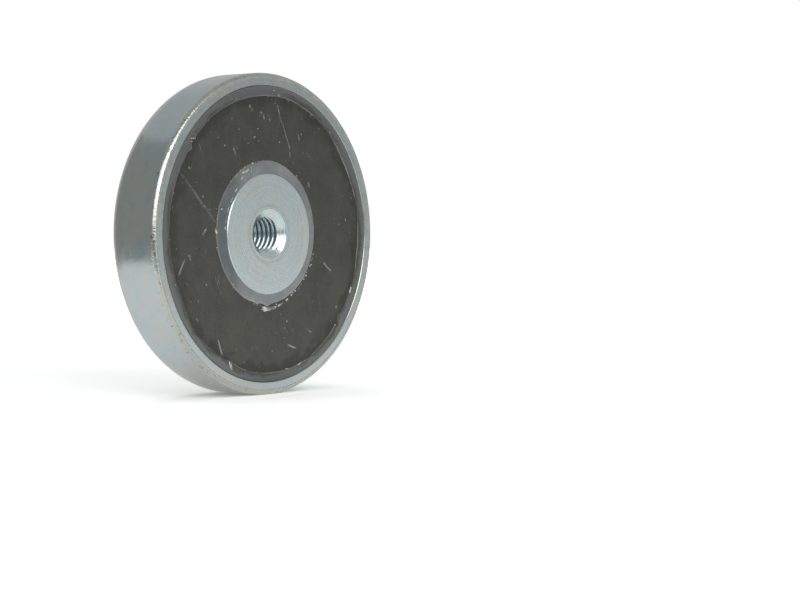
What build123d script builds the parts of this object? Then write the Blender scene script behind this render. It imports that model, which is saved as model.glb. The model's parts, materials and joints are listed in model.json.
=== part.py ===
"""Shallow pot magnet with a threaded through hole, standing on its rim. All sizes in millimetres.

A steel cup holds a ring of hard ferrite, and a steel core fills the ring's bore. The rim and the core
carry the two poles, so the pull is on one side only. A rope's eyebolt screws into the core from the back:
the core's M10 thread is a plain bore here, at the thread's minor diameter.
The thread's axis runs along Y: the pole face looks to -Y and the back to +Y. The origin is on the
ground, under the middle of the rim.
"""

import os

from build123d import *

# Driving sizes
outer_diameter = 80.0
total_height = 18.0
sheet_thickness = 4.0
wall_thickness = 3.2
back_corner_radius = 7.5
rim_edge_radius = 1.1
core_diameter = 30.2
core_back_depth = 1.3
thread_minor_diameter = 8.5
magnet_outer_diameter = 72.0
magnet_bore_diameter = 33.0
magnet_face_depth = 0.35
glue_thickness = 0.1

# Smaller features
cavity_corner_radius = 2.8
rim_bore_chamfer = 0.2
seat_edge_radius = 0.75
core_shoulder_width = 0.3
core_edge_chamfer = 0.22
pole_countersink_diameter = 12.4
pole_countersink_slope = 0.7
back_chamfer_diameter = 10.8
magnet_seat_chamfer = 1.5
magnet_face_chamfer = 0.3
resin_face_depth = 0.15
resin_lip_outer = 1.5
resin_lip_inner = 1.4
resin_lip_slope = 0.15

# Radii, and depths below the pole face
outer_radius = outer_diameter / 2
cavity_radius = outer_radius - wall_thickness
cavity_depth = total_height - sheet_thickness
floor_radius = cavity_radius - cavity_corner_radius
wall_foot = cavity_depth - cavity_corner_radius
core_radius = core_diameter / 2
seat_radius = core_radius - core_shoulder_width
core_back = total_height - core_back_depth
minor_radius = thread_minor_diameter / 2
magnet_radius = magnet_outer_diameter / 2
magnet_bore_radius = magnet_bore_diameter / 2
magnet_seat = cavity_depth - glue_thickness
countersink_radius = pole_countersink_diameter / 2
countersink_depth = (countersink_radius - minor_radius) * pole_countersink_slope
back_chamfer_radius = back_chamfer_diameter / 2

# Sections are drawn in the level plane through the axis: local x is the radius, local y the depth.
section = Plane(origin=(0, -total_height / 2, outer_radius), x_dir=(1, 0, 0), z_dir=(0, 0, 1))
axis = Axis((0, 0, outer_radius), (0, 1, 0))

os.makedirs("parts", exist_ok=True)


def write(piece, name):
    """Label a finished solid and write it as its own STEP file."""
    piece.label = name
    export_step(piece, f"parts/{name}.step")


# Deep-drawn cup: rounded back corner, lightly rounded rim, and a hole for the core with a rolled edge
with BuildPart() as pot:
    with BuildSketch(section):
        with BuildLine():
            rim = Line((cavity_radius + rim_bore_chamfer, 0), (outer_radius - rim_edge_radius, 0))
            rim_edge = TangentArc(rim @ 1, (outer_radius, rim_edge_radius), tangent=(1, 0))
            side = Line(rim_edge @ 1, (outer_radius, total_height - back_corner_radius))
            corner = TangentArc(side @ 1, (outer_radius - back_corner_radius, total_height), tangent=(0, 1))
            back = Line(corner @ 1, (seat_radius + seat_edge_radius, total_height))
            rolled = TangentArc(back @ 1, (seat_radius, total_height - seat_edge_radius), tangent=(-1, 0))
            hole = Line(rolled @ 1, (seat_radius, cavity_depth))
            floor = Line(hole @ 1, (floor_radius, cavity_depth))
            inner_corner = TangentArc(floor @ 1, (cavity_radius, wall_foot), tangent=(1, 0))
            wall = Line(inner_corner @ 1, (cavity_radius, rim_bore_chamfer))
            Line(wall @ 1, rim @ 0)
        make_face()
    revolve(axis=axis)
write(pot.part, "pot")

# Turned core: a shoulder inside the cup takes the rope's pull, and its spigot is pressed in the cup's hole
with BuildPart() as core:
    with BuildSketch(section):
        with BuildLine():
            Polyline(
                (countersink_radius, 0),
                (core_radius - core_edge_chamfer, 0),
                (core_radius, core_edge_chamfer),
                (core_radius, cavity_depth),
                (seat_radius, cavity_depth),
                (seat_radius, core_back),
                (back_chamfer_radius, core_back),
                (minor_radius, core_back - (back_chamfer_radius - minor_radius)),
                (minor_radius, countersink_depth),
                close=True,
            )
        make_face()
    revolve(axis=axis)
write(core.part, "core")

# Sintered ring, its seat edge chamfered to clear the fillet inside the cup
with BuildPart() as ferrite_ring:
    with BuildSketch(section):
        with BuildLine():
            Polyline(
                (magnet_bore_radius + magnet_face_chamfer, magnet_face_depth),
                (magnet_radius - magnet_face_chamfer, magnet_face_depth),
                (magnet_radius, magnet_face_depth + magnet_face_chamfer),
                (magnet_radius, magnet_seat - magnet_seat_chamfer),
                (magnet_radius - magnet_seat_chamfer, magnet_seat),
                (magnet_bore_radius, magnet_seat),
                (magnet_bore_radius, magnet_face_depth + magnet_face_chamfer),
                close=True,
            )
        make_face()
    revolve(axis=axis)
write(ferrite_ring.part, "ferrite_ring")

# Thin film of glue between the ring and the flat of the cup's floor
with BuildPart() as glue_film:
    with BuildSketch(section):
        with BuildLine():
            Polyline(
                (magnet_bore_radius, magnet_seat),
                (floor_radius, magnet_seat),
                (floor_radius, cavity_depth),
                (magnet_bore_radius, cavity_depth),
                close=True,
            )
        make_face()
    revolve(axis=axis)
write(glue_film.part, "glue_film")

# Resin cast in the gap between the ring and the cup, with a lip over the edge of the ring's face
with BuildPart() as outer_resin_ring:
    with BuildSketch(section):
        with BuildLine():
            lip_edge = magnet_radius - resin_lip_outer
            Polyline(
                (lip_edge, magnet_face_depth),
                (lip_edge + resin_lip_slope, resin_face_depth),
                (cavity_radius, resin_face_depth),
                (cavity_radius, wall_foot),
                (magnet_radius, wall_foot),
                (magnet_radius, magnet_face_depth + magnet_face_chamfer),
                (magnet_radius - magnet_face_chamfer, magnet_face_depth),
                close=True,
            )
        make_face()
    revolve(axis=axis)
write(outer_resin_ring.part, "outer_resin_ring")

# Resin cast in the gap between the core and the ring, down to the cup's floor, with a lip as well
with BuildPart() as inner_resin_ring:
    with BuildSketch(section):
        with BuildLine():
            lip_edge = magnet_bore_radius + resin_lip_inner
            Polyline(
                (core_radius, core_edge_chamfer),
                (core_radius - core_edge_chamfer + resin_face_depth, resin_face_depth),
                (lip_edge - resin_lip_slope, resin_face_depth),
                (lip_edge, magnet_face_depth),
                (magnet_bore_radius + magnet_face_chamfer, magnet_face_depth),
                (magnet_bore_radius, magnet_face_depth + magnet_face_chamfer),
                (magnet_bore_radius, cavity_depth),
                (core_radius, cavity_depth),
                close=True,
            )
        make_face()
    revolve(axis=axis)
write(inner_resin_ring.part, "inner_resin_ring")
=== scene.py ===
"""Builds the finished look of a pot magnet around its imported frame: a drawn steel cup with a threaded
steel core, a ground ferrite ring and cast resin. Lengths are in metres. The magnet stands on its rim,
its pole face looks to -Y, and its axis runs level along Y."""

import json
import math
import random

import bmesh
import bpy
import numpy as np
from bpy.props import FloatProperty, FloatVectorProperty, IntProperty, PointerProperty
from mathutils import Euler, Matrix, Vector


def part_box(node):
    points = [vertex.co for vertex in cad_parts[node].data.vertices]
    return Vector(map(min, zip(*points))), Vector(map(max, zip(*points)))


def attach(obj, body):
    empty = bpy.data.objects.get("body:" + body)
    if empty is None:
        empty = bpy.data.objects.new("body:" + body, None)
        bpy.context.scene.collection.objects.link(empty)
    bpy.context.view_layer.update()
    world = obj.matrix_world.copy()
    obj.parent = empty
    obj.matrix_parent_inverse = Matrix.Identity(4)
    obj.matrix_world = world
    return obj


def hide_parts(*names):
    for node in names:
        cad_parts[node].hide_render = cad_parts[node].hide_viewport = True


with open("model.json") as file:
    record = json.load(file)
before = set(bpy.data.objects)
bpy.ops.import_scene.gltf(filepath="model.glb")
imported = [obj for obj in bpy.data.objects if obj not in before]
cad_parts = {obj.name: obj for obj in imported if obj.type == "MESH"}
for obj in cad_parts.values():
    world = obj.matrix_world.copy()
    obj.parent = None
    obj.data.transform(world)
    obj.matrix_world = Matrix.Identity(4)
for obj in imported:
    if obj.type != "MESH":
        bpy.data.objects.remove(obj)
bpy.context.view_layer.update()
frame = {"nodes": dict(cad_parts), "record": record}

bl_info = {
    "name": "Pot Magnet",
    "version": (1, 0, 0),
    "blender": (4, 5, 0),
    "location": "3D View > Sidebar > Pot Magnet",
    "description": "Makes the cup, core, ferrite and resin of a pot magnet, and a studio around it",
    "category": "Add Mesh",
}

MM = 0.001

# Places and sizes that the frame gives. A depth is measured from the pole face towards the back.
CUP_LOW, CUP_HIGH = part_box("pot")
CORE_LOW, CORE_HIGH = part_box("core")
FERRITE_LOW, FERRITE_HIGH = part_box("ferrite_ring")
OUTER_RESIN_LOW, OUTER_RESIN_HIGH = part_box("outer_resin_ring")
INNER_RESIN_LOW, INNER_RESIN_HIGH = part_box("inner_resin_ring")
GLUE_LOW, GLUE_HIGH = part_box("glue_film")
THREAD = next(m for m in frame["record"]["mounts"] if m["kind"] == "threaded_hole")

POLE = CUP_LOW[1]
AXIS_HEIGHT = (CUP_LOW[2] + CUP_HIGH[2]) / 2
OUTER_RADIUS = (CUP_HIGH[0] - CUP_LOW[0]) / 2
TOTAL_HEIGHT = CUP_HIGH[1] - POLE
CAVITY_RADIUS = (OUTER_RESIN_HIGH[0] - OUTER_RESIN_LOW[0]) / 2
CAVITY_DEPTH = GLUE_HIGH[1] - POLE
FLOOR_RADIUS = (GLUE_HIGH[0] - GLUE_LOW[0]) / 2
INNER_FOLD = CAVITY_RADIUS - FLOOR_RADIUS
CORE_RADIUS = (CORE_HIGH[0] - CORE_LOW[0]) / 2
CORE_BACK = CORE_HIGH[1] - POLE
FERRITE_RADIUS = (FERRITE_HIGH[0] - FERRITE_LOW[0]) / 2
FERRITE_FACE = FERRITE_LOW[1] - POLE
FERRITE_BACK = FERRITE_HIGH[1] - POLE
INNER_LIP_RADIUS = (INNER_RESIN_HIGH[0] - INNER_RESIN_LOW[0]) / 2
MINOR_RADIUS = THREAD["dims"]["r_mm"] * MM
BODY = "root"

# Sizes that no box gives
FERRITE_BORE = CORE_RADIUS + 1.4 * MM
FERRITE_BEVEL = 0.3 * MM
FERRITE_SEAT = 1.5 * MM
OUTER_LIP = 1.5 * MM


# ---------------------------------------------------------------- settings

def setting(name, description, default, **kind):
    """A number that can be set: a length, unless another kind is given."""
    return FloatProperty(name=name, description=description, default=default, **(kind or {"unit": "LENGTH"}))


def tone(name, description, default):
    """A colour that can be set."""
    return FloatVectorProperty(
        name=name, description=description, default=default, size=3, min=0, max=1, subtype="COLOR"
    )


class CupSettings(bpy.types.PropertyGroup):
    """Sizes and colours of the drawn cup"""

    rim_edge: setting("Rim edge", "Radius of the rim's outer edge", 1.1 * MM)
    back_corner: setting("Back corner", "Radius of the drawn back corner", 7.5 * MM)
    bore_bevel: setting("Bore bevel", "Bevel inside the rim", 0.2 * MM)
    seat_radius: setting("Core hole", "Radius of the hole for the core", 14.8 * MM)
    seat_edge: setting("Hole edge", "Radius of the hole's rolled edge", 0.75 * MM)
    plating: tone("Plating", "Colour of the zinc plating", (0.60, 0.655, 0.655))
    tint: tone("Passivation tint", "Warm tint of the passivation", (0.66, 0.60, 0.50))


class CoreSettings(bpy.types.PropertyGroup):
    """Sizes of the turned core and its thread"""

    pitch: setting("Pitch", "Thread pitch", 1.5 * MM)
    major_radius: setting("Major radius", "Radius at the thread's roots", 5.0 * MM)
    countersink: setting("Countersink", "Radius of the countersink", 6.2 * MM)
    sink_slope: setting("Countersink slope", "Depth of the countersink for its width", 0.7, min=0.3, max=2)
    back_chamfer: setting("Back chamfer", "Radius of the back's chamfer", 5.4 * MM)
    edge_chamfer: setting("Edge chamfer", "Chamfer of the pole face's edge", 0.22 * MM)


class CastSettings(bpy.types.PropertyGroup):
    """Colours of the ferrite and the resin, and the seed of what is uneven"""

    ferrite: tone("Ferrite", "Colour of the ground ferrite", (0.034, 0.034, 0.0275))
    resin: tone("Resin", "Colour of the cast resin", (0.150, 0.161, 0.161))
    seed: IntProperty(name="Seed", description="Seed of the uneven resin edges", default=7)


# ---------------------------------------------------------------- mesh helpers

def arc(centre, radius, start, end, steps):
    """Points on an arc in a section, from one angle to the other, in degrees."""
    angles = np.radians(np.linspace(start, end, steps + 1))
    return [(centre[0] + radius * math.cos(a), centre[1] + radius * math.sin(a)) for a in angles]


def divided(start, end, steps):
    """Points along a straight line of a section."""
    return [(s[0], s[1]) for s in np.linspace(start, end, steps + 1)]


def outline(*pieces):
    """One closed section from lines and arcs that follow on, without the doubled points where they meet."""
    points = []
    for piece in pieces:
        for point in piece:
            if not points or math.dist(point, points[-1]) > 1e-7:
                points.append(point)
    if math.dist(points[0], points[-1]) < 1e-7:
        points.pop()
    return points


def ring_mesh(name, rings, sharp_angle=35.0):
    """A closed ring of rotation from an array of rings[section point, turn, (radius, depth)]."""
    sections, turns = rings.shape[:2]
    angle = np.linspace(0, 2 * math.pi, turns, endpoint=False)
    radius, depth = rings[..., 0], rings[..., 1]
    places = np.stack(
        [radius * np.cos(angle), POLE + depth, AXIS_HEIGHT + radius * np.sin(angle)], axis=-1
    ).reshape(-1, 3)
    faces = []
    for i in range(sections):
        j = (i + 1) % sections
        for k in range(turns):
            n = (k + 1) % turns
            faces.append((i * turns + k, j * turns + k, j * turns + n, i * turns + n))
    mesh = bpy.data.meshes.new(name)
    mesh.from_pydata(places.tolist(), [], faces)
    bm = bmesh.new()
    bm.from_mesh(mesh)
    bmesh.ops.recalc_face_normals(bm, faces=bm.faces)
    bm.to_mesh(mesh)
    bm.free()
    mesh.shade_smooth()
    mesh.set_sharp_from_angle(angle=math.radians(sharp_angle))
    return mesh


def turned(name, section, turns, sharp_angle=35.0):
    """A closed ring of rotation with the same section all round."""
    rings = np.repeat(np.array(section)[:, None, :], turns, axis=1)
    return ring_mesh(name, rings, sharp_angle)


def run_round(corners):
    """A closed section from its corners, each with the number of steps from it to the next."""
    after = [*corners[1:], corners[0]]
    return outline(*(divided(here, there, steps) for (here, steps), (there, _) in zip(corners, after)))


def meshed(name, bm):
    """A mesh from edited geometry, which is let go."""
    mesh = bpy.data.meshes.new(name)
    bm.to_mesh(mesh)
    bm.free()
    return mesh


def linked(name, data):
    """A new object in the scene."""
    made = bpy.data.objects.new(name, data)
    bpy.context.scene.collection.objects.link(made)
    return made


def stand_in(name, mesh, material, slot, *nodes):
    """Link a finished piece, give it its material and body, and let it stand for CAD nodes."""
    piece = linked(name, mesh)
    mesh.materials.clear()
    mesh.materials.append(material)
    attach(piece, BODY)
    if nodes:
        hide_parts(*nodes)


# ---------------------------------------------------------------- node helpers

def node(tree, kind, **inputs):
    """A new node. Names that start with a capital letter are input sockets; the others are its settings."""
    made = tree.nodes.new(kind)
    for name, value in inputs.items():
        if name[0].isupper():
            join(tree, value, made.inputs[name.replace("_", " ")])
        else:
            setattr(made, name, value)
    return made


def join(tree, value, socket):
    """Feed a socket from another socket, or set its value."""
    if isinstance(value, bpy.types.NodeSocket):
        tree.links.new(value, socket)
    elif value is not None:
        socket.default_value = value


def calc(tree, operation, value, *others, clamp=False):
    """A math operation on a value, carried on from the left over any others."""
    for other in others or (None,):
        made = node(tree, "ShaderNodeMath", operation=operation, use_clamp=clamp)
        join(tree, value, made.inputs[0])
        join(tree, other, made.inputs[1])
        value = made.outputs[0]
    return value


def times(tree, *factors):
    """Values multiplied."""
    return calc(tree, "MULTIPLY", *factors)


def vector(tree, operation, *values, scale=None):
    """A vector math node's result."""
    made = node(tree, "ShaderNodeVectorMath", operation=operation)
    for value, socket in zip(values, made.inputs):
        join(tree, value, socket)
    if scale is not None:
        join(tree, scale, made.inputs["Scale"])
    return made.outputs["Value" if operation in ("DOT_PRODUCT", "LENGTH") else "Vector"]


def between(tree, value, low, high, to_low=0.0, to_high=1.0, smooth=True):
    """The value carried from one range to another, and held at its ends."""
    made = tree.nodes.new("ShaderNodeMapRange")
    made.interpolation_type = "SMOOTHSTEP" if smooth else "LINEAR"
    for name, number in zip(("Value", "From Min", "From Max", "To Min", "To Max"),
                            (value, low, high, to_low, to_high)):
        join(tree, number, made.inputs[name])
    return made.outputs["Result"]


def below(tree, value, low, high):
    """1 up to low, falling to 0 at high."""
    return between(tree, value, low, high, 1.0, 0.0)


def blended(tree, amount, first, second, how="MIX"):
    """Two colours mixed."""
    made = tree.nodes.new("ShaderNodeMix")
    made.data_type = "RGBA"
    made.blend_type = how
    for place, value in ((0, amount), (6, first), (7, second)):
        if isinstance(value, tuple) and len(value) == 3:
            value = (*value, 1.0)
        join(tree, value, made.inputs[place])
    return made.outputs[2]


def layered(tree, colour, *layers):
    """A colour with others laid over it in turn, each as much as its mask says."""
    for mask, over in layers:
        colour = blended(tree, mask, colour, over)
    return colour


def shade(colour, factor):
    """A lighter or darker tone of a colour."""
    return tuple(part * factor for part in colour)


def noise(tree, where, scale, detail=3.0, roughness=0.5, distortion=0.0):
    """Noise over a vector, about 0 to 1."""
    made = node(tree, "ShaderNodeTexNoise", Vector=where, Scale=scale, Detail=detail,
                Roughness=roughness, Distortion=distortion)
    return made.outputs["Fac"]


def noise_rings(tree, radius, scale, detail, roughness=0.5):
    """Noise that changes with the radius only."""
    made = node(tree, "ShaderNodeTexNoise", noise_dimensions="1D", W=radius, Scale=scale, Detail=detail,
                Roughness=roughness)
    return made.outputs["Fac"]


def stretched(tree, where, scale, turn=(0.0, 0.0, 0.0)):
    """A vector turned, and then scaled by a different amount along each axis."""
    turned_to = node(tree, "ShaderNodeMapping", Vector=where, Rotation=turn)
    return node(tree, "ShaderNodeMapping", Vector=turned_to.outputs[0], Scale=scale).outputs[0]


def strokes(tree, where, scale, turn):
    """Noise drawn out into short fine strokes on a face, turned about the axis."""
    return noise(tree, stretched(tree, where, scale, (0.0, turn, 0.0)), 1.0, 1.0, 0.4)


def new_material(name):
    """A material with a bare Principled shader, its tree, and the place on the piece from its axis."""
    material = bpy.data.materials.new(name)
    material.use_nodes = True
    tree = material.node_tree
    tree.nodes.clear()
    shader = tree.nodes.new("ShaderNodeBsdfPrincipled")
    output = tree.nodes.new("ShaderNodeOutputMaterial")
    tree.links.new(shader.outputs[0], output.inputs["Surface"])
    place = tree.nodes.new("ShaderNodeTexCoord").outputs["Object"]
    centred = node(tree, "ShaderNodeMapping", Vector=place, Location=(0.0, -POLE, -AXIS_HEIGHT))
    return material, tree, shader, centred.outputs[0]


def from_axis(tree, x, up):
    """How far from the axis something is."""
    return calc(tree, "SQRT", calc(tree, "ADD", times(tree, x, x), times(tree, up, up)))


def polar(tree, where):
    """The distance from the axis and the depth below the pole face, in metres."""
    x, y, z = node(tree, "ShaderNodeSeparateXYZ", Vector=where).outputs
    return from_axis(tree, x, z), y


def dress(tree, shader, colour, roughness, *bumps):
    """Feed a shader its colour, its roughness and its bumps: a height from 0 to 1, the millimetres that it
    stands for and, if it isn't 1, its strength."""
    tree.links.new(colour, shader.inputs["Base Color"])
    tree.links.new(roughness, shader.inputs["Roughness"])
    normal = None
    for height, distance, *strength in bumps:
        normal = node(tree, "ShaderNodeBump", Height=height, Distance=distance * MM,
                      Strength=strength[0] if strength else 1.0, Normal=normal).outputs[0]
    tree.links.new(normal, shader.inputs["Normal"])


def new_group(name, kind, **sockets):
    """A new node group and what it is given: each input's name and its kind of value."""
    tree = bpy.data.node_groups.new(name, kind)
    for label, value in sockets.items():
        tree.interface.new_socket(label.replace("_", " "), in_out="INPUT", socket_type="NodeSocket" + value)
    return tree, tree.nodes.new("NodeGroupInput").outputs


def closed(tree, label, kind, value):
    """A node group finished with its one output."""
    tree.interface.new_socket(label, in_out="OUTPUT", socket_type="NodeSocket" + kind)
    tree.links.new(value, tree.nodes.new("NodeGroupOutput").inputs[0])
    return tree


# ---------------------------------------------------------------- materials

def plated_steel(settings):
    """Zinc plating on drawn steel: bluish grey, warm at its edges, with draw lines along the wall."""
    material, tree, shader, where = new_material("zinc_plated_cup")
    radius, depth = polar(tree, where)
    clouds = noise(tree, where, 45.0, 3.0, 0.55, 0.6)
    small = noise(tree, where, 420.0, 4.0, 0.6)
    pimples = noise(tree, where, 1900.0, 2.0, 0.5)
    blue = noise(tree, stretched(tree, where, (130.0, 90.0, 130.0)), 1.0, 2.0, 0.5, 0.8)
    pink = noise(tree, stretched(tree, where, (170.0, 120.0, 170.0)), 1.3, 2.0, 0.5, 0.8)
    draw_lines = noise(tree, stretched(tree, where, (1500.0, 18.0, 1500.0)), 1.0, 3.0, 0.6)
    turning = noise_rings(tree, radius, 2400.0, 3.0)

    # Places on the cup
    at_wall = between(tree, radius, OUTER_RADIUS - 0.5 * MM, OUTER_RADIUS - 0.1 * MM)
    on_rim = below(tree, depth, 1.2 * MM, 1.5 * MM)
    on_back = between(tree, depth, TOTAL_HEIGHT - 0.5 * MM, TOTAL_HEIGHT - 0.05 * MM)
    at_edge = times(tree, between(tree, radius, OUTER_RADIUS - 1.4 * MM, OUTER_RADIUS - 0.9 * MM), on_rim)
    crest = times(tree, between(tree, radius, OUTER_RADIUS - 0.95 * MM, OUTER_RADIUS - 0.65 * MM),
                  below(tree, radius, OUTER_RADIUS - 0.45 * MM, OUTER_RADIUS - 0.2 * MM), on_rim)
    at_bore = times(tree, below(tree, radius, CAVITY_RADIUS + 0.1 * MM, CAVITY_RADIUS + 0.7 * MM),
                    below(tree, depth, 0.3 * MM, 0.6 * MM))
    at_corner = times(tree, between(tree, depth, TOTAL_HEIGHT - 6.5 * MM, TOTAL_HEIGHT - 4.0 * MM),
                      between(tree, radius, OUTER_RADIUS - 7.0 * MM, OUTER_RADIUS - 4.5 * MM))

    # Marks
    nicks = between(tree, noise(tree, where, 1000.0, 3.0, 0.6), 0.60, 0.68)
    scuffs = times(tree, nicks, calc(tree, "MAXIMUM", at_edge, at_bore))
    specks = between(tree, noise(tree, where, 900.0, 1.0), 0.76, 0.80, 0.0, 0.6)
    hairs = [between(tree, strokes(tree, where, (1500.0, 1.0, 45.0), turn), 0.66, 0.74)
             for turn in (0.4, 1.1, 2.3)]
    hairlines = times(tree, calc(tree, "MAXIMUM", *hairs), on_back)
    dull = times(tree, between(tree, noise(tree, where, 300.0, 5.0, 0.7), 0.50, 0.66), on_back)

    colour = layered(
        tree, tuple(settings.plating),
        (between(tree, clouds, 0.40, 0.72, 0.0, 0.35), tuple(settings.tint)),
        (between(tree, blue, 0.48, 0.66, 0.0, 0.50), (0.53, 0.635, 0.70)),
        (between(tree, pink, 0.50, 0.68, 0.0, 0.25), (0.66, 0.60, 0.61)),
        (between(tree, small, 0.30, 0.50, 0.30, 0.0), (0.48, 0.52, 0.51)),
        (times(tree, crest, 0.75), (0.60, 0.57, 0.41)),
        (times(tree, at_bore, 0.55), (0.50, 0.51, 0.38)),
        (times(tree, at_corner, 0.30), (0.66, 0.64, 0.54)),
        (times(tree, scuffs, 0.7), (0.22, 0.22, 0.19)),
        (specks, (0.22, 0.21, 0.19)),
        (times(tree, hairlines, 0.35), (0.42, 0.45, 0.44)),
        (times(tree, dull, 0.35), (0.44, 0.47, 0.46)),
    )
    rough = calc(
        tree, "ADD",
        between(tree, small, 0.3, 0.7, 0.17, 0.23),
        between(tree, clouds, 0.4, 0.7, 0.0, 0.05),
        times(tree, on_back, 0.12),
        times(tree, at_corner, 0.04),
    )
    peel = calc(tree, "ADD", times(tree, at_corner, 1.8), times(tree, at_edge, 2.4))
    shader.inputs["Metallic"].default_value = 1.0
    dress(
        tree, shader, colour, rough,
        (times(tree, draw_lines, at_wall), 0.004),
        (times(tree, turning, calc(tree, "SUBTRACT", 1.0, at_wall)), 0.002),
        (hairlines, 0.004),
        (times(tree, pimples, peel), 0.03),
        (noise(tree, where, 1300.0, 2.0), 0.0035),
        (noise(tree, where, 230.0, 3.0, 0.6), 0.022),
    )
    return material


def turned_steel():
    """Zinc plating over fine turning rings, with brownish stains round the hole, and a bluer tint with
    painted shade inside the thread.
    """
    material, tree, shader, where = new_material("zinc_plated_core")
    radius, depth = polar(tree, where)
    wavering = calc(tree, "ADD", radius, times(tree, noise(tree, where, 60.0, 2.0), 0.12 * MM))
    rings = noise_rings(tree, wavering, 2300.0, 3.0, 0.6)
    bands = noise_rings(tree, wavering, 620.0, 1.0)
    clouds = noise(tree, where, 120.0, 3.0, 0.55, 0.6)
    specks = noise(tree, where, 1500.0, 2.0)
    near_hole = between(tree, radius, 6.0 * MM, 12.0 * MM, 1.0, 0.25)
    stains = times(tree, between(tree, bands, 0.52, 0.66), near_hole,
                   between(tree, clouds, 0.35, 0.6, 0.1, 0.55))
    # Inside the thread: a bluer tint, darkened as painted shade in the hole
    inside = times(tree, between(tree, depth, 0.9 * MM, 2.2 * MM), below(tree, radius, 5.3 * MM, 5.8 * MM))
    colour = layered(
        tree, (0.72, 0.82, 0.83),
        (between(tree, clouds, 0.35, 0.7, 0.0, 0.5), (0.80, 0.80, 0.74)),
        (between(tree, rings, 0.35, 0.65, 0.0, 0.16), (0.54, 0.60, 0.61)),
        (stains, (0.52, 0.43, 0.34)),
        (times(tree, inside, 0.8), (0.52, 0.62, 0.66)),
        (between(tree, specks, 0.74, 0.80, 0.0, 0.5), (0.28, 0.26, 0.22)),
    )
    face = calc(tree, "SUBTRACT", 1.0, between(tree, radius, 5.0 * MM, 6.0 * MM, 0.8, 0.0))
    shader.inputs["Metallic"].default_value = 1.0
    dress(tree, shader, colour, between(tree, rings, 0.3, 0.7, 0.22, 0.32),
          (times(tree, rings, face), 0.003), (noise(tree, where, 600.0, 2.0), 0.002))
    return material


def scratch_group():
    """A straight mark from one place to another on the face, as a mask from 0 to 1."""
    tree, given = new_group("Scratch", "ShaderNodeTree", Place="Vector", Start="Vector", End="Vector",
                            Width="Float")
    run = vector(tree, "SUBTRACT", given["End"], given["Start"])
    gone = vector(tree, "SUBTRACT", given["Place"], given["Start"])
    share = calc(tree, "DIVIDE", vector(tree, "DOT_PRODUCT", gone, run),
                 vector(tree, "DOT_PRODUCT", run, run), clamp=True)
    off = vector(tree, "LENGTH", vector(tree, "SUBTRACT", gone, vector(tree, "SCALE", run, scale=share)))
    mask = calc(tree, "SUBTRACT", 1.0, calc(tree, "DIVIDE", off, given["Width"]), clamp=True)
    return closed(tree, "Mask", "Float", mask)


# Marks on the ferrite's face: start and end as (right, up) from the axis and half the width, in millimetres,
# and the strength
SCRATCHES = (
    ((-31.0, 15.0), (-19.0, 3.0), 0.20, 0.17),
    ((-26.5, 10.5), (-22.5, 6.5), 0.26, 0.28),
    ((3.5, 32.0), (4.5, 29.0), 0.13, 0.60),
    ((4.5, 29.0), (6.5, 25.0), 0.12, 0.55),
    ((6.5, 25.0), (8.0, 21.5), 0.12, 0.55),
    ((8.0, 21.5), (8.0, 19.5), 0.12, 0.45),
    ((-6.5, 31.5), (-5.8, 30.5), 0.22, 0.90),
    ((-2.5, 30.0), (-1.5, 28.8), 0.20, 0.80),
    ((0.0, 29.5), (0.8, 28.5), 0.15, 0.60),
    ((11.0, 25.5), (11.6, 23.8), 0.15, 0.55),
    ((-23.0, 0.0), (-22.2, 1.0), 0.20, 0.80),
    ((-28.0, -5.0), (-27.5, -6.0), 0.18, 0.70),
    ((-17.5, -10.0), (-18.0, -11.8), 0.14, 0.50),
    ((15.0, 13.0), (15.3, 12.0), 0.18, 0.70),
    ((21.0, -7.5), (23.5, -9.5), 0.14, 0.70),
    ((-12.5, 21.0), (-11.8, 19.5), 0.15, 0.70),
    ((14.0, -24.0), (16.0, -25.0), 0.10, 0.40),
    ((-19.0, -10.5), (-17.0, -14.5), 0.10, 0.30),
)
# A scratch fades out over this many times half its width
SCRATCH_FADE = 2.0
# Short strokes on the ferrite's face: turn, scale along each axis, and the noise from which they show
STROKES = (
    (0.35, (800.0, 1.0, 130.0), 0.745),
    (-0.5, (900.0, 1.0, 120.0), 0.75),
    (1.25, (850.0, 1.0, 150.0), 0.755),
)


def face_marks(tree, where):
    """Broken scratches, short strokes and specks on the ferrite's face, as a mask from 0 to 1."""
    wander = 0.9 * MM
    shift = wander / 2
    level = FERRITE_FACE + shift
    wobble = node(tree, "ShaderNodeTexNoise", Vector=where, Scale=350.0, Detail=2.0).outputs["Color"]
    shaken = vector(tree, "MULTIPLY_ADD", wobble, (wander,) * 3, where)
    group = scratch_group()
    scratches = []
    for start, end, width, strength in SCRATCHES:
        made = tree.nodes.new("ShaderNodeGroup")
        made.node_tree = group
        tree.links.new(shaken, made.inputs["Place"])
        for name, (right, up) in (("Start", start), ("End", end)):
            made.inputs[name].default_value = (right * MM + shift, level, up * MM + shift)
        made.inputs["Width"].default_value = width * SCRATCH_FADE * MM
        scratches.append(times(tree, made.outputs[0], strength))
    broken = between(tree, noise(tree, where, 1300.0, 3.0), 0.32, 0.56)
    short = [between(tree, strokes(tree, where, scale, turn), least, least + 0.05, 0.0, 0.4)
             for turn, scale, least in STROKES]
    specks = between(tree, noise(tree, where, 1100.0, 2.0), 0.715, 0.78, 0.0, 0.7)
    return calc(tree, "MAXIMUM", times(tree, calc(tree, "MAXIMUM", *scratches), broken), *short, specks)


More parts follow.
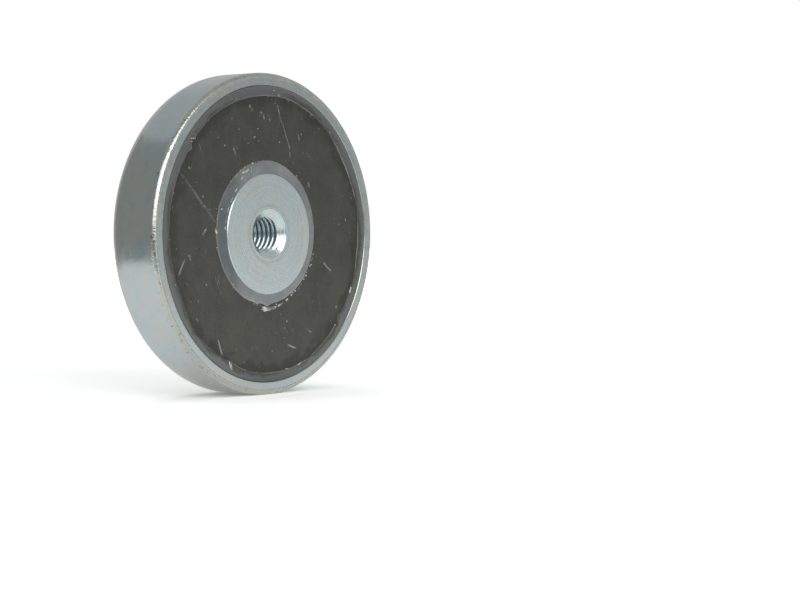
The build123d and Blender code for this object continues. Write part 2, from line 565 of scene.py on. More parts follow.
def ground_ferrite(settings):
    """Ground hard ferrite: dark, matt, with painted shade near the outer resin, with grinding lines and pale
    marks.
    """
    material, tree, shader, where = new_material("ferrite")
    clouds = noise(tree, where, 130.0, 5.0, 0.65, 0.3)
    lines = noise(tree, stretched(tree, where, (1700.0, 1.0, 70.0), (0.0, 0.12, 0.0)), 1.0, 3.0, 0.6)
    grain = noise(tree, where, 2100.0, 3.0, 0.7)
    # Noise that makes the edge of the painted shade by the outer resin ragged
    shade_wobble = noise(tree, where, 190.0, 4.0, 0.6, 0.8)
    drift = calc(tree, "ADD", polar(tree, where)[0],
                 between(tree, shade_wobble, 0.3, 0.7, -2.0 * MM, 2.0 * MM, smooth=False))
    marks = face_marks(tree, where)
    base = settings.ferrite
    colour = layered(
        tree, shade(base, 0.80),
        (between(tree, clouds, 0.3, 0.7), shade(base, 1.20)),
        (between(tree, lines, 0.50, 0.78, 0.0, 0.20), (0.085, 0.085, 0.077)),
        (between(tree, grain, 0.42, 0.72, 0.0, 0.40), shade(base, 2.1)),
        # Painted shade: darkens the ferrite in a ragged band beside the outer resin
        (between(tree, drift, 31.0 * MM, 34.0 * MM, 0.0, 0.65), shade(base, 0.45)),
        (marks, (0.34, 0.34, 0.31)),
    )
    shader.inputs["Specular IOR Level"].default_value = 0.4
    dress(tree, shader, colour, between(tree, grain, 0.3, 0.7, 0.50, 0.62),
          (lines, 0.004), (grain, 0.006), (marks, 0.02, 0.6))
    return material


def cast_resin(settings):
    """Grey casting resin, slightly glossy: the outer ring is darker, with painted shade along its thin edge
    by the ferrite in patches, the inner ring is darker and bluer on its left, and the thin edge is paler here
    and there."""
    material, tree, shader, where = new_material("resin")
    across = node(tree, "ShaderNodeSeparateXYZ", Vector=where).outputs[0]
    edge = node(tree, "ShaderNodeAttribute", attribute_name="thin_edge").outputs["Fac"]
    clouds = noise(tree, where, 160.0, 4.0, 0.6, 0.5)
    broad = noise(tree, where, 38.0, 2.0, 0.5)
    flaws = noise(tree, where, 620.0, 3.0, 0.6)
    grain = noise(tree, where, 2000.0, 3.0, 0.6)
    outer = between(tree, polar(tree, where)[0], 25.0 * MM, 26.0 * MM)
    inner = calc(tree, "SUBTRACT", 1.0, outer)
    ragged = calc(tree, "ADD", edge, between(tree, clouds, 0.3, 0.7, -0.30, 0.30, smooth=False))
    # Painted shade: the outer ring's thin edge by the ferrite is darkened nearly to the ferrite's colour, in
    # patches
    edge_shade_patches = times(tree, between(tree, ragged, 0.35, 0.80), between(tree, broad, 0.40, 0.56, 0.25, 1.0))
    # The inner ring is made darker and bluer on its left
    darker_left = times(tree, below(tree, across, -14.0 * MM, -8.0 * MM), inner,
                   between(tree, clouds, 0.3, 0.6, 0.35, 0.85))
    pale = times(tree, between(tree, edge, 0.88, 0.98), between(tree, clouds, 0.40, 0.62, 0.05, 0.55))
    chips = times(tree, between(tree, flaws, 0.66, 0.72), between(tree, edge, 0.2, 0.6))
    base = settings.resin
    colour = layered(
        tree, shade(base, 0.88),
        (between(tree, clouds, 0.35, 0.7), shade(base, 1.18)),
        (times(tree, outer, 0.8), shade(base, 0.46)),
        (times(tree, edge_shade_patches, outer, 0.9), (0.040, 0.038, 0.032)),
        (darker_left, (0.055, 0.070, 0.074)),
        (pale, (0.25, 0.225, 0.205)),
        (times(tree, chips, 0.6), (0.34, 0.32, 0.30)),
    )
    shader.inputs["Specular IOR Level"].default_value = 0.4
    dress(tree, shader, colour, between(tree, clouds, 0.3, 0.7, 0.30, 0.45), (clouds, 0.05), (grain, 0.004))
    return material


def chipped_resin():
    """Bruised resin: pale, matt and rough where it has flaked."""
    material, tree, shader, where = new_material("chipped_resin")
    clouds = noise(tree, where, 500.0, 4.0, 0.6)
    colour = blended(tree, between(tree, clouds, 0.35, 0.62), (0.10, 0.098, 0.09), (0.44, 0.42, 0.385))
    dress(tree, shader, colour, between(tree, clouds, 0.3, 0.7, 0.45, 0.65), (clouds, 0.05))
    return material


def hard_glue():
    """Hard amber glue with a cloudy colour."""
    material, tree, shader, where = new_material("glue")
    clouds = noise(tree, where, 300.0, 3.0, 0.6)
    colour = blended(tree, clouds, (0.26, 0.23, 0.15), (0.36, 0.33, 0.24))
    dress(tree, shader, colour, between(tree, clouds, 0.3, 0.7, 0.3, 0.5), (clouds, 0.02))
    return material


def pale_floor():
    """Pale matt studio paper, exposed as white for the camera and glowing faintly for everything else."""
    material, tree, shader, where = new_material("studio_paper")
    fibres = noise(tree, where, 900.0, 3.0, 0.6)
    paper = blended(tree, fibres, (0.68, 0.68, 0.67), (0.72, 0.72, 0.71))
    camera = tree.nodes.new("ShaderNodeLightPath").outputs["Is Camera Ray"]
    exposed = blended(tree, 1.0, paper, (2.1, 2.1, 2.1), "MULTIPLY")
    tree.links.new(blended(tree, camera, paper, exposed), shader.inputs["Base Color"])
    shader.inputs["Roughness"].default_value = 0.9
    shader.inputs["Specular IOR Level"].default_value = 0.1
    far = between(tree, vector(tree, "LENGTH", where), 0.2, 0.7)
    glow = times(tree, calc(tree, "SUBTRACT", 1.0, camera), 0.21)
    shader.inputs["Emission Color"].default_value = (1.0, 1.0, 1.0, 1.0)
    tree.links.new(calc(tree, "ADD", times(tree, far, camera), glow), shader.inputs["Emission Strength"])
    return material


# ---------------------------------------------------------------- pieces

class MAGNET_OT_cup(bpy.types.Operator):
    """Make the drawn steel cup"""

    bl_idname = "magnet.cup"
    bl_label = "Cup"

    def execute(self, context):
        s = context.scene.magnet_cup
        corner_centre = (OUTER_RADIUS - s.back_corner, TOTAL_HEIGHT - s.back_corner)
        section = outline(
            divided((CAVITY_RADIUS + s.bore_bevel, 0), (OUTER_RADIUS - s.rim_edge, 0), 6),
            arc((OUTER_RADIUS - s.rim_edge, s.rim_edge), s.rim_edge, -90, 0, 10),
            divided((OUTER_RADIUS, s.rim_edge), (OUTER_RADIUS, corner_centre[1]), 18),
            arc(corner_centre, s.back_corner, 0, 90, 24),
            divided((corner_centre[0], TOTAL_HEIGHT), (s.seat_radius + s.seat_edge, TOTAL_HEIGHT), 20),
            arc((s.seat_radius + s.seat_edge, TOTAL_HEIGHT - s.seat_edge), s.seat_edge, 90, 180, 8),
            divided((s.seat_radius, TOTAL_HEIGHT - s.seat_edge), (s.seat_radius, CAVITY_DEPTH), 4),
            divided((s.seat_radius, CAVITY_DEPTH), (FLOOR_RADIUS, CAVITY_DEPTH), 6),
            arc((FLOOR_RADIUS, CAVITY_DEPTH - INNER_FOLD), INNER_FOLD, 90, 0, 8),
            divided((CAVITY_RADIUS, CAVITY_DEPTH - INNER_FOLD), (CAVITY_RADIUS, s.bore_bevel), 6),
        )
        stand_in("cup_shell", turned("cup_shell", section, 480), plated_steel(s), "zinc_plated_cup", "pot")
        return {"FINISHED"}


def thread_tree():
    """Geometry nodes that press a right-hand screw thread into the wall of a plain hole round the axis."""
    tree, given = new_group("Cut thread", "GeometryNodeTree", Geometry="Geometry", Pitch="Float",
                            Minor_radius="Float", Major_radius="Float", Root_flat="Float",
                            Material="Material")
    position = tree.nodes.new("GeometryNodeInputPosition").outputs[0]
    x, y, z = node(tree, "ShaderNodeSeparateXYZ", Vector=position).outputs
    up = calc(tree, "SUBTRACT", z, AXIS_HEIGHT)
    depth = calc(tree, "SUBTRACT", y, POLE)
    radius = from_axis(tree, x, up)
    turn = calc(tree, "DIVIDE", calc(tree, "ARCTAN2", up, x), 2 * math.pi)
    along = calc(tree, "ADD", calc(tree, "DIVIDE", depth, given["Pitch"]), turn)
    from_root = calc(tree, "ABSOLUTE", calc(tree, "SUBTRACT", calc(tree, "FLOORED_MODULO", along, 1.0), 0.5))
    away = calc(tree, "SUBTRACT", times(tree, from_root, given["Pitch"]),
                times(tree, given["Root flat"], 0.5))
    height = calc(tree, "SUBTRACT", given["Major radius"], given["Minor radius"])
    flank = times(tree, height, math.tan(math.radians(30)))
    share = calc(tree, "SUBTRACT", 1.0, calc(tree, "DIVIDE", away, flank), clamp=True)
    cut = calc(tree, "ADD", given["Minor radius"], times(tree, height, share))
    grow = calc(tree, "DIVIDE", calc(tree, "MAXIMUM", radius, cut), radius)
    moved = node(tree, "ShaderNodeCombineXYZ", X=times(tree, x, grow), Y=y,
                 Z=calc(tree, "ADD", AXIS_HEIGHT, times(tree, up, grow))).outputs[0]
    placed = node(tree, "GeometryNodeSetPosition", Geometry=given["Geometry"], Position=moved)
    finish = node(tree, "GeometryNodeSetMaterial", Geometry=placed.outputs[0], Material=given["Material"])
    return closed(tree, "Geometry", "Geometry", finish.outputs[0])


def made_by(tree, piece, **inputs):
    """The plain mesh that a geometry nodes tree makes of a piece."""
    modifier = piece.modifiers.new(tree.name, "NODES")
    modifier.node_group = tree
    for item in tree.interface.items_tree:
        if item.in_out == "INPUT" and item.name.replace(" ", "_") in inputs:
            modifier[item.identifier] = inputs[item.name.replace(" ", "_")]
    graph = bpy.context.evaluated_depsgraph_get()
    mesh = bpy.data.meshes.new_from_object(
        piece.evaluated_get(graph), preserve_all_data_layers=True, depsgraph=graph
    )
    piece.modifiers.clear()
    return mesh


class MAGNET_OT_core(bpy.types.Operator):
    """Make the turned core and cut its thread"""

    bl_idname = "magnet.core"
    bl_label = "Threaded core"

    def execute(self, context):
        s = context.scene.magnet_core
        seat = context.scene.magnet_cup.seat_radius
        step = s.pitch / 24
        sink_foot = (s.countersink - MINOR_RADIUS) * s.sink_slope
        chamfer_foot = CORE_BACK - (s.back_chamfer - MINOR_RADIUS)
        corners = (
            ((s.countersink, 0), 14),
            ((CORE_RADIUS - s.edge_chamfer, 0), 3),
            ((CORE_RADIUS, s.edge_chamfer), 6),
            ((CORE_RADIUS, CAVITY_DEPTH), 1),
            ((seat, CAVITY_DEPTH), 3),
            ((seat, CORE_BACK), 14),
            ((s.back_chamfer, CORE_BACK), round((CORE_BACK - chamfer_foot) / step)),
            ((MINOR_RADIUS, chamfer_foot), round((chamfer_foot - sink_foot) / step)),
            ((MINOR_RADIUS, sink_foot), round(sink_foot / step)),
        )
        material = turned_steel()
        blank = linked("core_blank", turned("core_blank", run_round(corners), 192))
        mesh = made_by(thread_tree(), blank, Pitch=s.pitch, Minor_radius=MINOR_RADIUS,
                       Major_radius=s.major_radius, Root_flat=s.pitch / 8, Material=material)
        bpy.data.objects.remove(blank)
        mesh.name = "turned_core"
        mesh.shade_smooth()
        mesh.set_sharp_from_angle(angle=math.radians(28))
        stand_in("turned_core", mesh, material, "zinc_plated_core", "core")
        return {"FINISHED"}


class MAGNET_OT_ferrite(bpy.types.Operator):
    """Make the ground ferrite ring"""

    bl_idname = "magnet.ferrite"
    bl_label = "Ferrite ring"

    def execute(self, context):
        corners = (
            ((FERRITE_BORE + FERRITE_BEVEL, FERRITE_FACE), 30),
            ((FERRITE_RADIUS - FERRITE_BEVEL, FERRITE_FACE), 1),
            ((FERRITE_RADIUS, FERRITE_FACE + FERRITE_BEVEL), 4),
            ((FERRITE_RADIUS, FERRITE_BACK - FERRITE_SEAT), 1),
            ((FERRITE_RADIUS - FERRITE_SEAT, FERRITE_BACK), 8),
            ((FERRITE_BORE, FERRITE_BACK), 4),
            ((FERRITE_BORE, FERRITE_FACE + FERRITE_BEVEL), 1),
        )
        stand_in("ground_ferrite", turned("ground_ferrite", run_round(corners), 360),
                 ground_ferrite(context.scene.magnet_cast), "ferrite", "ferrite_ring")
        return {"FINISHED"}


def uneven(turns, draw, knots, reach, ripple):
    """An uneven edge round the axis: straight runs between random knots, with a fine ripple on top."""
    angle = np.linspace(0, 2 * math.pi, turns, endpoint=False)
    gaps = np.array([draw.uniform(0.5, 1.5) for _ in range(knots)])
    at = np.concatenate([[0], np.cumsum(gaps)]) / gaps.sum() * 2 * math.pi
    level = np.array([draw.uniform(-reach, reach) for _ in range(knots)])
    level = np.append(level, level[0])
    edge = np.interp(angle, at, level)
    for waves in (23, 41, 67, 113, 181):
        edge += ripple * math.sqrt(23 / waves) * np.sin(waves * angle + draw.uniform(0, 2 * math.pi))
    return edge


def swell(turns, places):
    """Bulges and notches of an edge, from a table like those below."""
    angle = np.degrees(np.linspace(0, 2 * math.pi, turns, endpoint=False))
    edge = np.zeros(turns)
    for at, reach, width in places:
        away = (angle - at + 180.0) % 360.0 - 180.0
        edge += reach * MM * np.exp(-((away / width) ** 2))
    return edge


# Bulges and notches of the resin's edges: place round the axis in degrees, how far out in millimetres, and
# half the width in degrees
OUTER_SWELLS = (
    (140, 1.0, 1.2), (143, -0.7, 1.5), (205, -0.8, 9), (222, 0.5, 4),
    (247, -0.5, 4), (318, 0.9, 0.9), (322, -0.8, 2), (35, -0.4, 10),
)
INNER_SWELLS = ((268, 0.7, 3), (256, 0.3, 1.5), (176, 0.5, 1.0), (105, -0.3, 2))
# The top of a cast ring: share of the way from the steel to the thin edge, and depth below the pole face in
# millimetres. The resin creeps up the cup's wall, and lies level with the core's edge.
OUTER_CREEP = ((0.0, 0.05), (0.08, 0.12))
INNER_CREEP = ((0.0, 0.17), (0.08, 0.18))
CROWN = ((0.2, 0.16), (0.45, 0.17), (0.7, 0.16), (0.85, 0.17), (0.93, 0.20), (0.98, 0.26))


def cast_ring(name, wall, edge, gap, foot, crown):
    """A cast ring: its top runs from the steel wall to an uneven thin edge on the ferrite, and its root
    fills the gap beside the ferrite down to foot."""
    turns = len(edge)
    shares = np.array([share for share, depth in crown] + [1.0])
    depths = [depth * MM for share, depth in crown] + [FERRITE_FACE + 0.01 * MM]
    rows = [(wall + share * (edge - wall), depth) for share, depth in zip(shares, depths)]
    rows += [(np.full(turns, gap), FERRITE_FACE + 0.02 * MM), (np.full(turns, gap), foot),
             (np.full(turns, wall), foot)]
    rings = [np.stack([radius, np.full(turns, depth)], axis=-1) for radius, depth in rows]
    mesh = ring_mesh(name, np.stack(rings), 50.0)
    values = np.zeros(len(rows) * turns)
    values[: len(shares) * turns] = np.repeat(shares, turns)
    mesh.attributes.new("thin_edge", "FLOAT", "POINT").data.foreach_set("value", values.astype(np.float32))
    return mesh


class MAGNET_OT_resin(bpy.types.Operator):
    """Cast the resin on both sides of the ferrite"""

    bl_idname = "magnet.resin"
    bl_label = "Resin rings"

    def execute(self, context):
        s = context.scene.magnet_cast
        draw = random.Random(s.seed)
        resin = cast_resin(s)
        turns = 1080
        edge = FERRITE_RADIUS - OUTER_LIP + uneven(turns, draw, 26, 0.30 * MM, 0.03 * MM)
        edge += swell(turns, OUTER_SWELLS)
        mesh = cast_ring("outer_resin_cast", CAVITY_RADIUS, edge, FERRITE_RADIUS, CAVITY_DEPTH - INNER_FOLD,
                         OUTER_CREEP + CROWN)
        stand_in("outer_resin_cast", mesh, resin, "resin", "outer_resin_ring")
        angle = np.linspace(0, 2 * math.pi, turns, endpoint=False)
        off_centre = 0.95 * MM * np.cos(angle - math.radians(150))
        edge = INNER_LIP_RADIUS + uneven(turns, draw, 18, 0.15 * MM, 0.02 * MM)
        edge += off_centre
        edge += swell(turns, INNER_SWELLS)
        mesh = cast_ring("inner_resin_cast", CORE_RADIUS, edge, FERRITE_BORE, CAVITY_DEPTH,
                         INNER_CREEP + CROWN)
        stand_in("inner_resin_cast", mesh, resin, "resin", "inner_resin_ring")
        return {"FINISHED"}


def crumb_tree():
    """Geometry nodes that strew small broken lumps along an arc round the axis."""
    tree, given = new_group("Strew crumbs", "GeometryNodeTree", Geometry="Geometry", Start="Float",
                            Sweep="Float", Radius="Float", Depth="Float", Spread="Float", Smallest="Float",
                            Largest="Float", Count="Int", Seed="Int", Material="Material")

    def chance(kind, low, high, seed):
        made = node(tree, "FunctionNodeRandomValue", data_type=kind)
        offset = {"FLOAT_VECTOR": 0, "FLOAT": 2}[kind]
        join(tree, low, made.inputs[offset])
        join(tree, high, made.inputs[offset + 1])
        join(tree, calc(tree, "ADD", given["Seed"], seed), made.inputs["Seed"])
        return made.outputs[0 if kind == "FLOAT_VECTOR" else 1]

    arc_line = node(tree, "GeometryNodeCurveArc", mode="RADIUS", Radius=given["Radius"],
                    Start_Angle=given["Start"], Sweep_Angle=given["Sweep"], Resolution=64)
    level = node(tree, "ShaderNodeCombineXYZ", X=0.0, Y=calc(tree, "ADD", POLE, given["Depth"]),
                 Z=AXIS_HEIGHT)
    upright = node(tree, "GeometryNodeTransform", Geometry=arc_line.outputs[0],
                   Translation=level.outputs[0], Rotation=(math.pi / 2, 0.0, 0.0))
    points = node(tree, "GeometryNodeCurveToPoints", mode="COUNT", Curve=upright.outputs[0],
                  Count=given["Count"])
    reach = node(tree, "ShaderNodeCombineXYZ", X=given["Spread"], Y=0.0, Z=given["Spread"]).outputs[0]
    back = vector(tree, "SCALE", reach, scale=-1.0)
    strewn = node(tree, "GeometryNodeSetPosition", Geometry=points.outputs[0],
                  Offset=chance("FLOAT_VECTOR", back, reach, 1))
    lump = node(tree, "GeometryNodeMeshIcoSphere", Radius=1.0, Subdivisions=3)
    size = chance("FLOAT", given["Smallest"], given["Largest"], 2)
    squash = vector(tree, "MULTIPLY", chance("FLOAT_VECTOR", (0.6, 0.5, 0.6), (1.5, 0.7, 1.5), 3), size)
    spin = node(tree, "ShaderNodeCombineXYZ", X=0.0, Y=chance("FLOAT", 0.0, 6.28, 4), Z=0.0)
    placed = node(tree, "GeometryNodeInstanceOnPoints", Points=strewn.outputs[0], Instance=lump.outputs[0],
                  Rotation=spin.outputs[0], Scale=squash)
    real = node(tree, "GeometryNodeRealizeInstances", Geometry=placed.outputs[0])
    position = tree.nodes.new("GeometryNodeInputPosition").outputs[0]
    rough = node(tree, "ShaderNodeTexNoise", Vector=position, Scale=2600.0, Detail=2.0).outputs["Color"]
    centred = vector(tree, "SUBTRACT", rough, (0.5, 0.5, 0.5))
    push = vector(tree, "SCALE", centred, scale=times(tree, given["Largest"], 1.6))
    broken = node(tree, "GeometryNodeSetPosition", Geometry=real.outputs[0], Offset=push)
    finish = node(tree, "GeometryNodeSetMaterial", Geometry=broken.outputs[0], Material=given["Material"])
    return closed(tree, "Geometry", "Geometry", finish.outputs[0])


# Crumbs of resin: where the arc starts and how far it sweeps in degrees, its radius, the spread, the smallest
# and largest crumb in millimetres, and how many
CRUMBS = (
    (104, 62, 18.3, 0.30, 0.05, 0.20, 34),
    (166, 30, 18.6, 0.25, 0.05, 0.16, 10),
    (300, 45, 17.3, 0.45, 0.05, 0.24, 26),
    (252, 34, 18.0, 0.45, 0.05, 0.18, 16),
    (40, 40, 17.9, 0.8, 0.04, 0.11, 12),
    (138, 6, 35.2, 0.6, 0.06, 0.26, 12),
    (60, 34, 34.6, 0.6, 0.04, 0.14, 16),
    (244, 22, 34.9, 0.5, 0.05, 0.20, 16),
    (280, 24, 35.1, 0.4, 0.05, 0.24, 14),
    (315, 12, 34.8, 0.5, 0.05, 0.22, 10),
    (150, 80, 34.4, 0.5, 0.04, 0.12, 18),
)


def flake(bm, at, radius, length, width, turn, level, draw):
    """A thin broken scale of resin, flat against the face; at is its place round the axis in degrees."""
    middle = Vector((radius * math.cos(math.radians(at)), 0.0, radius * math.sin(math.radians(at))))
    base = Vector((0.0, POLE, AXIS_HEIGHT))
    thickness = 0.15 * MM
    uneven_top = 0.07
    taper = 0.86
    count = 13
    rim = []
    for i in range(count):
        a = 2 * math.pi * i / count
        wide = draw.uniform(0.5, 1.25)
        flat = Vector((length / 2 * wide * math.cos(a), 0.0, width / 2 * wide * math.sin(a)))
        flat.rotate(Euler((0.0, -math.radians(turn), 0.0)))
        rim.append(middle + flat)
    low = [bm.verts.new(base + p + Vector((0.0, level + thickness, 0.0))) for p in rim]
    high = [bm.verts.new(base + middle + (p - middle) * taper
                         + Vector((0.0, level - draw.uniform(0.0, uneven_top) * MM, 0.0))) for p in rim]
    bm.faces.new(low)
    bm.faces.new(list(reversed(high)))
    for i in range(count):
        j = (i + 1) % count
        bm.faces.new((low[i], high[i], high[j], low[j]))


# Scales of resin: place round the axis in degrees, radius, length, width in millimetres, turn in degrees, and
# depth of the top below the pole face in millimetres
FLAKES = (
    (267.0, 18.7, 5.2, 1.7, -3.0, 0.20),
    (275.0, 18.5, 3.2, 0.9, 8.0, 0.22),
    (284.0, 18.1, 2.2, 0.7, 24.0, 0.24),
    (292.0, 17.8, 1.4, 0.6, 35.0, 0.24),
    (246.5, 34.9, 0.9, 3.0, 25.0, 0.14),
    (178.0, 18.7, 0.7, 1.5, 10.0, 0.20),
    (112.0, 17.0, 0.4, 1.9, 10.0, 0.13),
    (118.0, 17.4, 2.9, 0.9, 22.0, 0.12),
    (127.0, 16.8, 2.2, 0.6, 44.0, 0.12),
    (129.0, 18.2, 1.4, 0.3, 36.0, 0.13),
    (138.0, 16.0, 1.6, 0.4, 52.0, 0.13),
    (143.0, 17.9, 1.8, 0.4, 40.0, 0.13),
    (148.0, 15.8, 2.2, 0.35, 56.0, 0.13),
    (157.0, 15.8, 2.8, 0.4, 68.0, 0.13),
    (160.0, 17.9, 1.0, 0.5, 30.0, 0.13),
    (167.0, 15.8, 2.2, 0.45, 76.0, 0.13),
    (175.0, 15.8, 1.4, 0.35, 86.0, 0.13),
    (335.0, 34.6, 0.6, 1.8, -20.0, 0.16),
    (87.0, 35.8, 0.9, 0.35, 0.0, 0.12),
    (281.0, 34.6, 1.6, 0.5, -10.0, 0.16),
    (289.0, 34.8, 1.8, 0.5, 25.0, 0.16),
)


class MAGNET_OT_crumbs(bpy.types.Operator):
    """Strew crumbs and scales of broken resin along the rings' edges"""

    bl_idname = "magnet.crumbs"
    bl_label = "Resin crumbs"

    def execute(self, context):
        s = context.scene.magnet_cast
        material = chipped_resin()
        tree = crumb_tree()
        bm = bmesh.new()
        for i, (start, sweep, radius, spread, smallest, largest, count) in enumerate(CRUMBS):
            blank = linked("crumb_blank", bpy.data.meshes.new("crumb_blank"))
            mesh = made_by(tree, blank, Start=math.radians(start), Sweep=math.radians(sweep),
                           Radius=radius * MM, Depth=FERRITE_FACE - 0.05 * MM, Spread=spread * MM,
                           Smallest=smallest * MM, Largest=largest * MM, Count=count, Seed=s.seed + i,
                           Material=material)
            bm.from_mesh(mesh)
            bpy.data.objects.remove(blank)
            bpy.data.meshes.remove(mesh)
        draw = random.Random(s.seed)
        for at, radius, length, width, turn, level in FLAKES:
            flake(bm, at, radius * MM, length * MM, width * MM, turn, level * MM, draw)
        bmesh.ops.recalc_face_normals(bm, faces=bm.faces)
        stand_in("resin_crumbs", meshed("resin_crumbs", bm), material, "resin")
        return {"FINISHED"}


class MAGNET_OT_glue(bpy.types.Operator):
    """Give the hidden glue film its finish"""

    bl_idname = "magnet.glue"
    bl_label = "Glue film"

    def execute(self, context):
        film = frame["nodes"]["glue_film"].data
        film.materials.clear()
        film.materials.append(hard_glue())
        return {"FINISHED"}


# ---------------------------------------------------------------- studio

class StudioSettings(bpy.types.PropertyGroup):
    """Camera, floor and lights"""

    turn: setting("Camera turn", "Camera's place round the magnet", math.radians(-51.19), subtype="ANGLE")
    tilt: setting("Camera tilt", "How far the camera looks down", math.radians(2.0), subtype="ANGLE")
    distance: setting("Distance", "From the camera to the magnet", 0.5034)
    aside: setting("Aside", "How far left of the camera's axis the magnet stands", 0.0395)
    above: setting("Above", "How far above the camera's axis the magnet is", 0.0166)
    focal: setting("Focal length", "On a sensor 36 mm wide", 90.0, unit="CAMERA")
    key_light: setting("Key light", "Power of the softbox on the camera's right", 3.2, unit="POWER")
    side_light: setting("Side light", "Power of the softbox on the camera's left", 1.75, unit="POWER")
    top_light: setting("Top light", "Power of the softbox overhead", 5.4, unit="POWER")
    low_light: setting("Low light", "Power of the strip before the foot", 0.035, unit="POWER")
    surround: tone("Surround", "Light of the room round the magnet", (0.51, 0.535, 0.535))
    floor_radius: setting("Floor radius", "How far the floor reaches", 4.0)


def softbox(name, place, target, size, power, glossy=True):
    """A soft area light that looks at a target. The camera doesn't see it; reflections do, if glossy."""
    light = bpy.data.lights.new(name, "AREA")
    light.shape = "RECTANGLE"
    light.size, light.size_y = size
    light.energy = power
    lamp = linked(name, light)
    lamp.location = place
    lamp.rotation_euler = (Vector(target) - Vector(place)).to_track_quat("-Z", "Y").to_euler()
    lamp.visible_camera = False
    lamp.visible_glossy = glossy


def card(name, corners, colour):
    """A card that is only seen as a reflection."""
    bm = bmesh.new()
    bm.faces.new([bm.verts.new(corner) for corner in corners])
    mesh = meshed(name, bm)
    material = bpy.data.materials.new(name)
    material.use_nodes = True
    shader = material.node_tree.nodes["Principled BSDF"]
    shader.inputs["Base Color"].default_value = (0.0, 0.0, 0.0, 1.0)
    shader.inputs["Specular IOR Level"].default_value = 0.0
    shader.inputs["Emission Color"].default_value = (*colour, 1.0)
    shader.inputs["Emission Strength"].default_value = 1.0
    mesh.materials.append(material)
    made = linked(name, mesh)
    made.visible_camera = False
    made.visible_diffuse = False
    made.visible_shadow = False


def side_card():
    """Stands close by on the camera's left and darkens the middle of the cup's wall."""
    away, along = Vector((-0.78, 0.62, 0.0)), Vector((0.62, 0.78, 0.0))
    foot = Vector((-0.04, 0.0, 0.0)) + away * 0.127
    reach, low, high = 0.22, 0.002, 0.205
    corners = [foot + along * side + Vector((0.0, 0.0, height))
               for side, height in ((-reach, low), (reach, low), (reach, high), (-reach, high))]
    card("side_card", corners, (0.265, 0.280, 0.272))


def floor_card():
    """Lies before the magnet and draws the dark streak on the rim's lower edge."""
    near, far, height = 0.2, 1.2, 0.002
    first, last = math.radians(188), math.radians(262)
    corners = [(reach * math.cos(turn), reach * math.sin(turn), height)
               for reach, turn in ((near, first), (far, first), (far, last), (near, last))]
    card("floor_card", corners, (0.08, 0.08, 0.08))


def studio_world(surround):
    """A white backdrop for the camera. For the lighting, a grey surround that is darker overhead, behind the
    camera, and low down on the camera's right."""
    world = bpy.data.worlds.new("studio")
    world.use_nodes = True
    tree = world.node_tree
    direction = tree.nodes.new("ShaderNodeTexCoord").outputs["Generated"]
    up = node(tree, "ShaderNodeSeparateXYZ", Vector=direction).outputs[2]
    behind = vector(tree, "DOT_PRODUCT", direction, (-0.78, -0.62, 0.0))
    right = vector(tree, "DOT_PRODUCT", direction, (0.78, -0.62, 0.0))
    seen = layered(
        tree, tuple(surround),
        (between(tree, up, 0.3, 0.9), shade(surround, 0.78)),
        (between(tree, behind, 0.1, 0.8), shade(surround, 0.4)),
        (times(tree, between(tree, right, 0.4, 0.9), below(tree, up, 0.0, 0.5)), shade(surround, 0.74)),
    )
    camera = tree.nodes.new("ShaderNodeLightPath").outputs["Is Camera Ray"]
    backdrop = tree.nodes["Background"]
    tree.links.new(blended(tree, camera, seen, (1.0, 1.0, 1.0)), backdrop.inputs["Color"])
    return world


class MAGNET_OT_camera(bpy.types.Operator):
    """Place the camera"""

    bl_idname = "magnet.camera"
    bl_label = "Camera"

    def execute(self, context):
        s = context.scene.magnet_studio
        data = bpy.data.cameras.new("camera")
        data.sensor_width = 36.0
        data.lens = s.focal
        data.clip_start, data.clip_end = 0.01, 20.0
        camera = linked("camera", data)
        camera.rotation_euler = Euler((math.pi / 2 - s.tilt, 0.0, s.turn))
        turned_by = camera.rotation_euler.to_matrix()
        centre = Vector((0.0, (CUP_LOW[1] + CUP_HIGH[1]) / 2, AXIS_HEIGHT))
        camera.location = centre + turned_by @ Vector((s.aside, -s.above, s.distance))
        context.scene.camera = camera
        return {"FINISHED"}


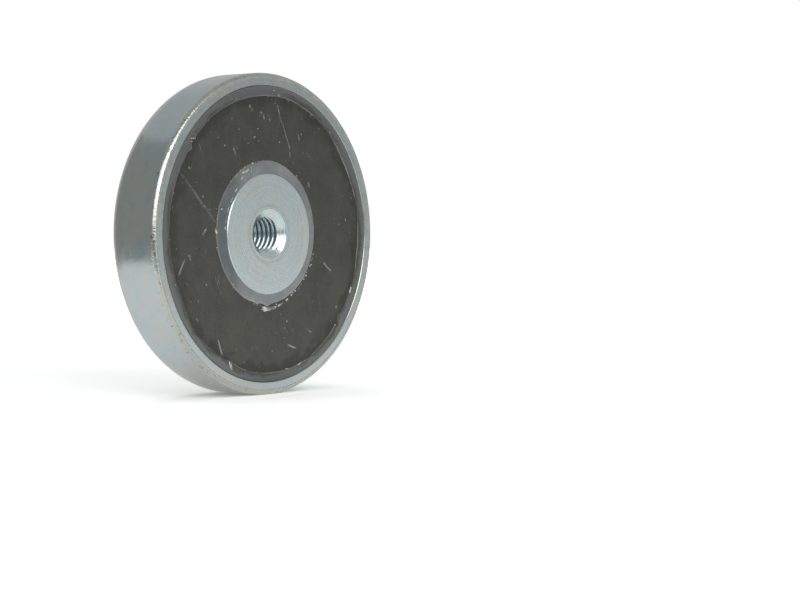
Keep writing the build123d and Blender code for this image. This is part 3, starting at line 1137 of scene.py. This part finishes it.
class MAGNET_OT_stage(bpy.types.Operator):
    """Make the floor, the reflected cards and the lights"""

    bl_idname = "magnet.stage"
    bl_label = "Studio"

    def execute(self, context):
        scene = context.scene
        s = scene.magnet_studio
        bm = bmesh.new()
        bmesh.ops.create_circle(bm, cap_ends=True, segments=96, radius=s.floor_radius)
        mesh = meshed("studio_floor", bm)
        mesh.materials.append(pale_floor())
        linked("studio_floor", mesh)
        side_card()
        floor_card()
        middle = (0.0, 0.0, AXIS_HEIGHT)
        softbox("left_light", (-0.68, -0.44, 0.40), middle, (0.70, 0.60), s.side_light)
        softbox("right_light", (-0.20, -0.78, 0.40), middle, (0.78, 0.60), s.key_light)
        softbox("top_light", (0.0, 0.3, 1.4), middle, (1.4, 1.4), s.top_light, glossy=False)
        before_foot = (0.0, -0.042, 0.003)
        straight_up = (0.0, -0.042, 1.0)
        softbox("low_light", before_foot, straight_up, (0.12, 0.06), s.low_light, glossy=False)
        scene.world = studio_world(s.surround)
        scene.view_settings.view_transform = "Standard"
        scene.view_settings.look = "None"
        return {"FINISHED"}


class MAGNET_PT_panel(bpy.types.Panel):
    """Lists the pieces and the studio"""

    bl_label = "Pot Magnet"
    bl_idname = "MAGNET_PT_panel"
    bl_space_type = "VIEW_3D"
    bl_region_type = "UI"
    bl_category = "Pot Magnet"

    def draw(self, context):
        layout = self.layout
        for operator in OPERATORS:
            layout.operator(operator.bl_idname)


SETTINGS = {
    "magnet_cup": CupSettings,
    "magnet_core": CoreSettings,
    "magnet_cast": CastSettings,
    "magnet_studio": StudioSettings,
}
OPERATORS = (
    MAGNET_OT_camera,
    MAGNET_OT_cup,
    MAGNET_OT_core,
    MAGNET_OT_ferrite,
    MAGNET_OT_resin,
    MAGNET_OT_crumbs,
    MAGNET_OT_glue,
    MAGNET_OT_stage,
)
CLASSES = (*SETTINGS.values(), *OPERATORS, MAGNET_PT_panel)


def register():
    for made in CLASSES:
        bpy.utils.register_class(made)
    for name, settings in SETTINGS.items():
        setattr(bpy.types.Scene, name, PointerProperty(type=settings))


def unregister():
    for name in SETTINGS:
        delattr(bpy.types.Scene, name)
    for made in reversed(CLASSES):
        bpy.utils.unregister_class(made)


def main():
    register()
    bpy.ops.magnet.camera()
    bpy.ops.magnet.cup()
    bpy.ops.magnet.core()
    bpy.ops.magnet.ferrite()
    bpy.ops.magnet.resin()
    bpy.ops.magnet.crumbs()
    bpy.ops.magnet.glue()
    bpy.ops.magnet.stage()


if __name__ == "__main__":
    main()
